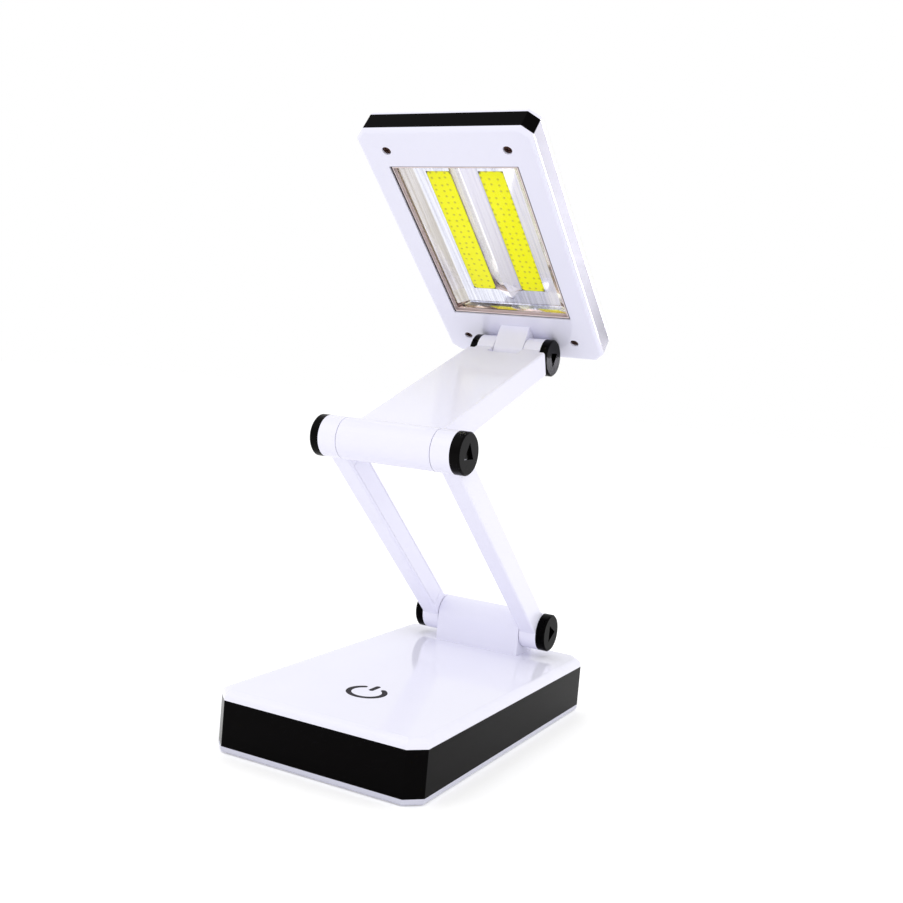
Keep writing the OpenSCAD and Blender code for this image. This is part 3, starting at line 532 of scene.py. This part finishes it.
# %% [markdown]
# ## A screw with a cross recess
#
# The solids show a screw as a plain disc on a rod. Thirteen screws can be seen
# from outside, so they are made again with a domed head and the cross that a
# screwdriver needs. A Boolean could cut the cross, but leaves messy faces. One
# screw is a surface of revolution instead: rings of points from the middle of
# the head out to its rim, then down the shank. Inside the cross, the points are
# pushed into the head. To keep the cross's sides straight, each ring spaces its
# points to meet the two bars' edges.

# %% One screw as rings of points


def cross_screw(shank_r, head_r, head_h, length):
    """One screw pointing up, with its seat at height zero and its head below.

    Face height = -head_h * (1 - 0.3 * (r / head_r)^4). A bar of the cross reaches out to
    0.66 * head_r and has half width w, so on a ring of radius r its edge stands at the angle
    asin(w / r). Points inside a bar are raised into the head by the recess's depth.
    """
    half_bar, reach, deep = 0.17 * head_r, 0.66 * head_r, 0.85 * head_h
    face = head_r * np.array([0.10, 0.22, 0.27, 0.45, 0.66, 0.69, 0.82, 0.93, 1.0])
    even = np.array([0, 0.2, 0.4, 0.6, 0.8]) * math.pi / 4
    edge = np.arcsin(np.clip(half_bar / face, 0, 1))[:, None]
    shares = np.array([0, 0.5, 1, 1, 1])
    beyond = np.array([0, 0, 0, 0.10, 0.55])
    fitted = edge * shares + (math.pi / 4 - edge) * beyond
    inside = (face < 0.25 * head_r)[:, None]
    outside = (face > reach * 1.01)[:, None]
    sector = np.where(inside | outside, even, fitted)
    middle = np.full((len(face), 1), math.pi / 4)
    mirrored = math.pi / 2 - np.concatenate([middle, sector[:, :0:-1]], axis=1)
    quarter = np.concatenate([sector, mirrored], axis=1)
    angles = np.concatenate([quarter + turn * math.pi / 2 for turn in range(4)], axis=1)
    sunk_step = np.tile(np.array([1, 1, 1, 0, 0, 0, 0, 0, 1, 1], bool), 4)
    sunk = (inside | sunk_step[None, :]) & ~outside
    heights = -head_h * (1 - 0.3 * (face[:, None] / head_r) ** 4) + deep * sunk

    shank_radii = np.array([head_r, shank_r, shank_r, 0.35 * shank_r])
    shank_heights = np.array([0, 0, length - shank_r, length])
    around = angles.shape[1]
    radii = np.concatenate([face, shank_radii])[:, None]
    turn = np.concatenate([angles, np.repeat(angles[-1:], len(shank_radii), axis=0)])
    height = np.concatenate([heights, np.repeat(shank_heights[:, None], around, axis=1)])
    rings = np.stack([radii * np.cos(turn), radii * np.sin(turn), height], axis=2)
    return rings.reshape(-1, 3), *tube_faces(len(radii), around)


print("one screw has", len(cross_screw(1, 2, 1, 8)[0]), "points")

# %% [markdown]
# ## Copies of a screw in their places
#
# Screws of one kind share a piece, as they share a bag in the workshop. Nobody
# stops turning a screw at the same angle, so each copy is turned 37 degrees
# more than the last. The head and the panel are tilted, so their screws are set
# out level first, and then all tilted together about the hinge.

# %% Set a shape out, and fit it for a plain node


def set_out(shape, places, origin=(0, 0, 0), tilt=0.0):
    """Copies of a shape at places in millimetres, each turned on, then all tilted about X at origin.

    The turn by angle a takes (x, y) to (x cos a - y sin a, x sin a + y cos a), and the
    tilt by angle t takes (y, z) to (y cos t - z sin t, y sin t + z cos t).
    """
    points, quads, caps = shape
    turns = np.radians(37) * np.arange(len(places))
    cos, sin, none, one = np.cos(turns), np.sin(turns), 0 * turns, 0 * turns + 1
    turned = np.array([[cos, sin, none], [-sin, cos, none], [none, none, one]])
    copies = np.einsum("pi,ijk->kpj", points, turned) + np.array(places)[:, None, :] * MM
    cos, sin = math.cos(tilt), math.sin(tilt)
    everything = copies.reshape(-1, 3) @ np.array([[1, 0, 0], [0, cos, sin], [0, -sin, cos]])
    starts = np.arange(len(places))[:, None, None] * len(points)
    blocks = [(quads + starts).reshape(-1, 4), (caps + starts).reshape(-1, caps.shape[1])]
    return everything + np.array(origin), blocks


def fit_screws(name, stands_for, body, finish, slot, shape, places, **tilted):
    """Cross-recessed screws that stand for the plain ones of a node."""
    piece = mesh_piece(name, *set_out(shape, places, **tilted), body, finish)
    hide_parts(stands_for)


def four(x, first_y, last_y, z):
    """Four places in millimetres: a pair at both sides of the middle at first_y, and one at last_y."""
    return [(side * x, y, z) for y in (first_y, last_y) for side in (-1, 1)]


print("four places:", four(x=1, first_y=2, last_y=3, z=4))

# %% [markdown]
# ## Thirteen screws
#
# Four dark screws hold the head together, four hold the cover under the panel,
# four the tray, and one the battery door. Only their sizes and places differ,
# so one recipe serves all, and each set rides on the body that it holds.

# %% Screws in the head, the panel, the tray and the battery door
HEAD_HINGE = (0, 66.692 * MM, 158.090 * MM)
HEAD_TILT = math.radians(-38.4)
ELBOW = (0, -36.757 * MM, 119.823 * MM)
PANEL_RISE = math.radians(20.3)

fit_screws(
    "crossed_head_screws",
    stands_for="head_screws",
    body="head",
    finish=brown_steel,
    slot="screw_brown",
    shape=cross_screw(shank_r=1.0 * MM, head_r=1.75 * MM, head_h=0.6 * MM, length=8 * MM),
    places=four(x=26.8, first_y=-1.0, last_y=-111.5, z=9.8),
    origin=HEAD_HINGE,
    tilt=HEAD_TILT,
)
fit_screws(
    "crossed_panel_screws",
    stands_for="upper_arm_screws",
    body="upper_arm",
    finish=plated_steel,
    slot="steel",
    shape=cross_screw(shank_r=1.2 * MM, head_r=2.1 * MM, head_h=0.75 * MM, length=5.5 * MM),
    places=four(x=14.3, first_y=15.1, last_y=85.2, z=-4.75),
    origin=ELBOW,
    tilt=PANEL_RISE,
)
fit_screws(
    "crossed_tray_screws",
    stands_for="tray_screws",
    body="base",
    finish=plated_steel,
    slot="steel",
    shape=cross_screw(shank_r=1.2 * MM, head_r=2.1 * MM, head_h=1.2 * MM, length=13.6 * MM),
    places=four(x=37.4, first_y=-47.0, last_y=47.0, z=1.55),
)
fit_screws(
    "crossed_door_screw",
    stands_for="door_screw",
    body="base",
    finish=plated_steel,
    slot="steel",
    shape=cross_screw(shank_r=1.2 * MM, head_r=2.1 * MM, head_h=0.85 * MM, length=4.4 * MM),
    places=[(0, 43.15, 1.25)],
)

# %% [markdown]
# ## The lit face and its own frame
#
# Behind a clear acrylic lens lies a bright metallised tray with a pointed ridge
# down its middle, and two strips of yellow phosphor lie on its floor. The head
# is tilted, and marks such as drawn lines must follow it. So these finishes
# first turn their coordinates into the head's own frame: x across the head, y
# down towards its hinge, z into the head. A Mapping node of the Texture kind
# undoes a move and a turn, so it only needs the hinge's place and the tilt.

# %% The head's own frame


def in_head_frame(finish):
    """Object coordinates turned into the head's frame: x, y and z sockets, and one vector."""
    mapping = finish.node("ShaderNodeMapping", vector_type="TEXTURE")
    mapping.inputs["Location"].default_value = HEAD_HINGE
    mapping.inputs["Rotation"].default_value = (HEAD_TILT, 0, 0)
    finish.feed(mapping.inputs["Vector"], finish.coordinates)
    split = finish.node("ShaderNodeSeparateXYZ")
    finish.feed(split.inputs[0], mapping.outputs[0])
    return (*split.outputs, mapping.outputs[0])


print("head frame at", HEAD_HINGE, "tilted", round(math.degrees(HEAD_TILT), 1))

# %% [markdown]
# ## Phosphor strips
#
# A light strip is a row of tiny blue chips under a layer of yellow phosphor.
# Switched off it is a strong yellow, and the chips show through as a regular
# sprinkle of duller dots. A Voronoi texture with little randomness gives such a
# sprinkle. It is cut in two dimensions, because a 3-D one would pass between
# its cells here and show nothing.

# %% Phosphor with the chips showing through
PHOSPHOR = (0.98, 0.975, 0.001)
CHIP_PITCH = 3.3 * MM
DOT_SHARE = 0.9

phosphor = Finish("phosphor_yellow", PHOSPHOR, 0.42, Specular_IOR_Level=0.05)
*_, head_place = in_head_frame(phosphor)
chips = phosphor.node("ShaderNodeTexVoronoi", feature="F1", voronoi_dimensions="2D")
chips.inputs["Randomness"].default_value = 0.35
chips.inputs["Scale"].default_value = 1 / CHIP_PITCH
phosphor.feed(chips.inputs["Vector"], head_place)
dot = phosphor.spread(chips.outputs["Distance"], 1, 0, 0.10, 0.22)
mottle = phosphor.noise(0.002, detail=3)
yellow = phosphor.blend(phosphor.spread(mottle, 0, 0.5), PHOSPHOR, (0.97, 0.94, 0.001))
phosphor.paint(phosphor.blend(phosphor.maths("MULTIPLY", dot, DOT_SHARE), yellow, (0.56, 0.52, 0.03)))
phosphor.bump((mottle, 30e-6), (dot, 60e-6))
finish_nodes(phosphor, "light_strip_left", "light_strip_right")

# %% [markdown]
# ## The metallised reflector: colour and painted reflections
#
# The tray is moulded plastic with a film of aluminium. Its mould was milled
# lengthwise, so fine drawn lines run down it. Metal is only as interesting as
# what it mirrors, and the inside of a small tray mirrors mostly itself. So what
# it mirrors is painted into its colour: each part of it, the walls, the two
# halves of the floor, the ridge and the rim, has its own pair of tints for the
# lines, chosen by where a point lies in the head's frame. The left half of the
# floor gets painted shade, the right half painted light, the ridge a painted
# highlight, the walls a yellowish-brown painted reflection and the rim a pinkish
# painted shade. Separate materials would need the solid to be split.

# %% Painted reflection and shade tints for the walls, the floor, the ridge and the rim
reflector = Finish("reflector_bright", (0.84, 0.85, 0.93), 0.07, Metallic=1.0)
head_x, head_y, head_z, head_place = in_head_frame(reflector)
draw_lines = reflector.noise(0.0010, detail=3, stretch=(1, 60, 1), where=head_place)
from_middle = reflector.maths("ABSOLUTE", head_x)


def lined(start, end, first, second):
    """Two tints shared out by the drawn lines, read from start to end."""
    return reflector.blend(reflector.spread(draw_lines, 0, 1, start, end), first, second)


# Painted light and shade: left floor darker, right floor lighter, ridge a painted highlight, walls a
# painted reflection of strips and studio, rim a painted shade.
left_floor_painted_shade = lined(0.40, 0.62, (0.76, 0.77, 0.86), (0.60, 0.61, 0.70))
right_floor_painted_light = lined(0.40, 0.62, (1.0, 0.99, 1.0), (0.86, 0.86, 0.92))
ridge_painted_highlight = lined(0.40, 0.70, (0.99, 0.98, 1.0), (0.90, 0.88, 0.94))
walls_painted_reflection = lined(0.35, 0.65, (0.98, 0.96, 0.84), (0.74, 0.69, 0.56))
rim = lined(0.30, 0.70, (0.88, 0.74, 0.71), (0.70, 0.56, 0.53))

# Where each part lies: the floor's right-hand lane, the ridge, the side walls, the rim.
to_the_right = reflector.spread(head_x, 0, 1, 16 * MM, 18 * MM)
above_floor = reflector.spread(head_z, 1, 0, 15.5 * MM, 15.7 * MM)
near_middle = reflector.spread(from_middle, 1, 0, 7 * MM, 8 * MM)
on_ridge = reflector.maths("MULTIPLY", above_floor, near_middle)
on_wall = reflector.spread(from_middle, 0, 0.85, 22.6 * MM, 23.1 * MM)
near_end = reflector.spread(head_y, 0, 0.9 * MM, -19.2 * MM, -18.6 * MM)
on_rim = reflector.spread(reflector.maths("SUBTRACT", head_z, near_end), 1, 0, 13.12 * MM, 13.25 * MM)

floor_tint = reflector.blend(to_the_right, left_floor_painted_shade, right_floor_painted_light)
middle_tint = reflector.blend(on_ridge, floor_tint, ridge_painted_highlight)
reflector.paint(reflector.blend(on_rim, reflector.blend(on_wall, middle_tint, walls_painted_reflection), rim))
finish_nodes(reflector, "reflector")

# %% [markdown]
# ## The metallised reflector: surface
#
# A mirror this bright shows the least change of slope. Three layers of bump
# give it life: the drawn lines, a slow waviness from the moulding, and the
# tray's end, which rises in a curve towards the hinge. On the solid that end is
# a plain slope. Tilting its normals lets it catch the bright surroundings as
# the curve does, without touching the solid.

# %% Lines, waviness and the rising end
waviness = reflector.noise(0.016, detail=1, where=head_place)
rising_end = reflector.spread(head_y, 0, 1, -27.0 * MM, -18.6 * MM)
reflector.vary_roughness(draw_lines, 0.05, 0.10)
reflector.bump((draw_lines, 3e-6), (waviness, 30e-6), (rising_end, 3.0 * MM))
print("reflector bump layers: lines, waviness, rising end")

# %% [markdown]
# ## The clear lens
#
# Glass in a path tracer has a snag: lamps can't shine through it except by
# slow caustics, so a closed window turns dark inside. The usual way round is to
# let shadow rays and diffuse rays pass a Transparent shader, while the camera
# and reflections still meet real glass. Its index is set low, because a thin
# flat pane bends light far less than a solid block does.

# %% Acrylic that lets light in
lens = Finish("lens_clear", (1, 1, 1), 0.0, Transmission_Weight=1.0, IOR=1.18)
ray = lens.node("ShaderNodeLightPath").outputs
passing = lens.maths("MAXIMUM", ray["Is Shadow Ray"], ray["Is Diffuse Ray"])
pane = lens.node("ShaderNodeMixShader")
lens.feed(pane.inputs["Fac"], passing)
lens.feed(pane.inputs[1], lens.shader.outputs[0])
lens.feed(pane.inputs[2], lens.node("ShaderNodeBsdfTransparent").outputs[0])
finish_nodes(lens, "lens")

# %% [markdown]
# ## The lens's frosted rim and the painted shadow of its gap
#
# Round its edge the lens is frosted where it is glued in. The glue shows pale
# and streaky. Outside it lies a dark line, a painted shadow for the shade in the
# gap where the lens ends short of the bezel, and inside it a fainter dark line.
# How far a point lies into the rim is the larger of two distances, one past the
# side and one past the end, so the lines run round the rectangle with sharp
# corners. The gap isn't even, and its painted shadow is widest on the left.

# %% Rim, painted shadow of the outer gap, and inner line
WINDOW_HALF_W, WINDOW_HALF_LEN, WINDOW_MIDDLE, RIM_W = 28.95 * MM, 43.45 * MM, 60.05 * MM, 1.3 * MM
LINE_FROM, LINE_FULL, INNER_FULL, INNER_END = 0.76 * MM, 0.82 * MM, 0.12 * MM, 0.20 * MM
LENS_FRONT = (9.9 * MM, 10.1 * MM)
SOONER_LEFT, SOONER_RIGHT, SOONER_FAR, SOONER_NEAR = 0.40 * MM, 0.26 * MM, 0.28 * MM, 0.06 * MM

head_x, head_y, head_z, head_place = in_head_frame(lens)
past_side = lens.maths("SUBTRACT", lens.maths("ABSOLUTE", head_x), WINDOW_HALF_W - RIM_W)
from_centre = lens.maths("ABSOLUTE", lens.maths("ADD", head_y, WINDOW_MIDDLE))
past_end = lens.maths("SUBTRACT", from_centre, WINDOW_HALF_LEN - RIM_W)
into_rim = lens.maths("MAXIMUM", past_side, past_end)
# The painted shadow of the gap starts soonest on the left and least at the near end, so it is widest on
# the left.
sooner_side = lens.spread(head_x, SOONER_LEFT, SOONER_RIGHT, -20 * MM, 20 * MM)
sooner_end = lens.spread(head_y, SOONER_FAR, SOONER_NEAR, -100 * MM, -20 * MM)
side_gap = lens.maths("ADD", past_side, sooner_side)
end_gap = lens.maths("ADD", past_end, sooner_end)
gap_painted_shadow = lens.spread(lens.maths("MAXIMUM", side_gap, end_gap), 0, 1, LINE_FROM, LINE_FULL)
inner_line = lens.spread(into_rim, 0.5, 0, INNER_FULL, INNER_END)
on_front = lens.spread(head_z, 1, 0, *LENS_FRONT)
dark = lens.maths("MULTIPLY", lens.maths("MAXIMUM", gap_painted_shadow, inner_line), on_front)

streaks = lens.noise(0.0007, detail=3, stretch=(12, 12, 1), where=head_place)
glue = lens.blend(lens.spread(streaks, 0, 1), (0.97, 0.84, 0.83), (0.82, 0.67, 0.66))
frosted = lens.node("ShaderNodeBsdfPrincipled")
frosted.inputs["Roughness"].default_value = 0.5
# The dark colour is the painted shadow in the outer gap, and the faint inner line.
lens.feed(frosted.inputs["Base Color"], lens.blend(dark, glue, (0.028, 0.015, 0.014)))
whole = lens.node("ShaderNodeMixShader")
lens.feed(whole.inputs["Fac"], lens.spread(into_rim, 0, 1, 0, 0.02 * MM))
lens.feed(whole.inputs[1], pane.outputs[0])
lens.feed(whole.inputs[2], frosted.outputs[0])
lens.feed(lens.output.inputs["Surface"], whole.outputs[0])
print("rim width:", round(RIM_W / MM, 2), "mm")

# %% [markdown]
# ## The floor
#
# A studio floor is a big sheet of matt white. Lit at a plain level it would
# come out light grey in the picture. More light would burn out the lamp's white
# shells, so the floor itself glows a little instead, but only to the camera, to
# mirrors and to glass. The light that falls on the lamp doesn't change, and the
# floor keeps the lamp's shadow. It lies a hair under the feet, so that the two
# never fight for the same place.

# %% Floor
FLOOR_HALF, FLOOR_Z = 3.0, -0.05 * MM
GLOW = 0.25

floor_mesh = bpy.data.meshes.new("studio_floor")
corners = [(-1, -1), (1, -1), (1, 1), (-1, 1)]
floor_mesh.from_pydata([(x * FLOOR_HALF, y * FLOOR_HALF, FLOOR_Z) for x, y in corners], [], [(0, 1, 2, 3)])
floor = bpy.data.objects.new("studio_floor", floor_mesh)
scene.collection.objects.link(floor)

floor_white = Finish("floor_white", (0.92, 0.92, 0.92), 0.9, Specular_IOR_Level=0.0)
floor_white.shader.inputs["Emission Color"].default_value = (1, 1, 1, 1)
ray = floor_white.node("ShaderNodeLightPath").outputs
mirrored = floor_white.maths("MAXIMUM", ray["Is Glossy Ray"], ray["Is Transmission Ray"])
seen = floor_white.maths("MAXIMUM", ray["Is Camera Ray"], mirrored)
floor_white.feed(floor_white.shader.inputs["Emission Strength"], floor_white.maths("MULTIPLY", seen, GLOW))
floor_mesh.materials.append(floor_white.material)
print("floor:", 2 * FLOOR_HALF, "m square")

# %% [markdown]
# ## The surroundings
#
# White walls all round give the softest light there is: a plain white world.
# It lights the lamp from every side, fills the background, and is what the
# polished covers mirror.

# %% World
world = bpy.data.worlds.new("studio")
scene.world = world
world.use_nodes = True
surroundings = world.node_tree.nodes["Background"]
surroundings.inputs["Color"].default_value = (1, 1, 1, 1)
surroundings.inputs["Strength"].default_value = 1.0
print("world strength:", surroundings.inputs["Strength"].default_value)

# %% [markdown]
# ## Soft lamps
#
# The world alone would leave no shape at all, so two large soft lamps, one at
# the front left above and one behind, add a little direction. Three weak fills
# lift the faces that look down or sideways; the right one makes the arms' right
# sides a shade lighter than their fronts, which shows their corners. The fills
# are hidden from mirrors, so that the polished covers don't show extra windows.
# An area lamp's power says how much light it gives in all, and a bigger lamp of
# the same power is dimmer to look at. So the lamps are described by radiance,
# how bright they look, and the power follows.

# %% Key, top and fills


def softbox(name, place, target, width, height, radiance):
    """An area lamp of that radiance (light per area and angle), facing target.

    Blender's power for an area lamp is radiance times its area times pi.
    """
    data = bpy.data.lights.new(name, "AREA")
    data.shape = "RECTANGLE"
    data.size, data.size_y = width, height
    data.energy = radiance * width * height * math.pi
    lamp = bpy.data.objects.new(name, data)
    facing = (Vector(target) - Vector(place)).normalized()
    lamp.matrix_world = Matrix.Translation(place) @ facing.to_track_quat("-Z", "Y").to_matrix().to_4x4()
    scene.collection.objects.link(lamp)
    print(name, "power:", round(data.energy, 2), "W")
    return lamp


softbox("key_softbox", (-0.7, -0.9, 1.3), (0, 0, 0.1), 0.8, 0.8, 0.5)
softbox("top_softbox", (-0.3, 0.75, 1.35), (0, 0, 0.1), 1.0, 1.0, 0.5)
left_fill = softbox("left_fill", (-0.9, -0.3, 0.35), (0, 0, 0.12), 0.5, 0.5, 0.7)
front_fill = softbox("front_fill", (0.10, -0.95, 0.22), (0, 0, 0.12), 0.9, 0.5, 0.35)
right_fill = softbox("right_fill", (0.9, 0.0, 0.18), (0, 0, 0.12), 0.8, 0.3, 0.85)
for fill in (left_fill, front_fill, right_fill):
    fill.visible_glossy = False

# %% [markdown]
# ## Softboxes for the shiny sides
#
# The black band on the head's right side looks almost white, because it mirrors
# a softbox that stands far behind on the right. A photographer would shade the
# rest of the lamp from it with a black flag. Light linking is that flag: it
# names the solids that a lamp may reach. Without it the arms would throw a
# white streak across the base. The light is a little cold, as the white plastic
# is. A second, weaker box carries the reflection on to the band's lower end,
# and reaches only the head.

# %% Side softboxes and what they reach
SIDE_TARGET = (0.04, 0.03, 0.20)
COLD_LIGHT = (0.90, 0.88, 1.0)


def mirrored_softbox(receivers, *settings):
    """A softbox that only these shiny solids mirror; nothing else is lit by it."""
    lamp = softbox(*settings)
    lamp.visible_diffuse = False
    lamp.data.color = COLD_LIGHT
    linked = bpy.data.collections.new("lit_by_" + lamp.name)
    for name in receivers:
        linked.objects.link(nodes[name])
    lamp.light_linking.receiver_collection = linked


shells = ["head_band", "head_back_cover"]
blacks = ["base_band", "base_hinge_caps", "elbow_caps", "head_hinge_caps"]
everything_shiny = [*shells, *blacks, "head_bezel"]
mirrored_softbox(everything_shiny, "side_softbox", (0.70, 1.38, 0.474), SIDE_TARGET, 0.32, 0.54, 38.5)
mirrored_softbox(shells, "low_softbox", (0.52, 1.38, 0.13), SIDE_TARGET, 0.32, 0.15, 22.0)
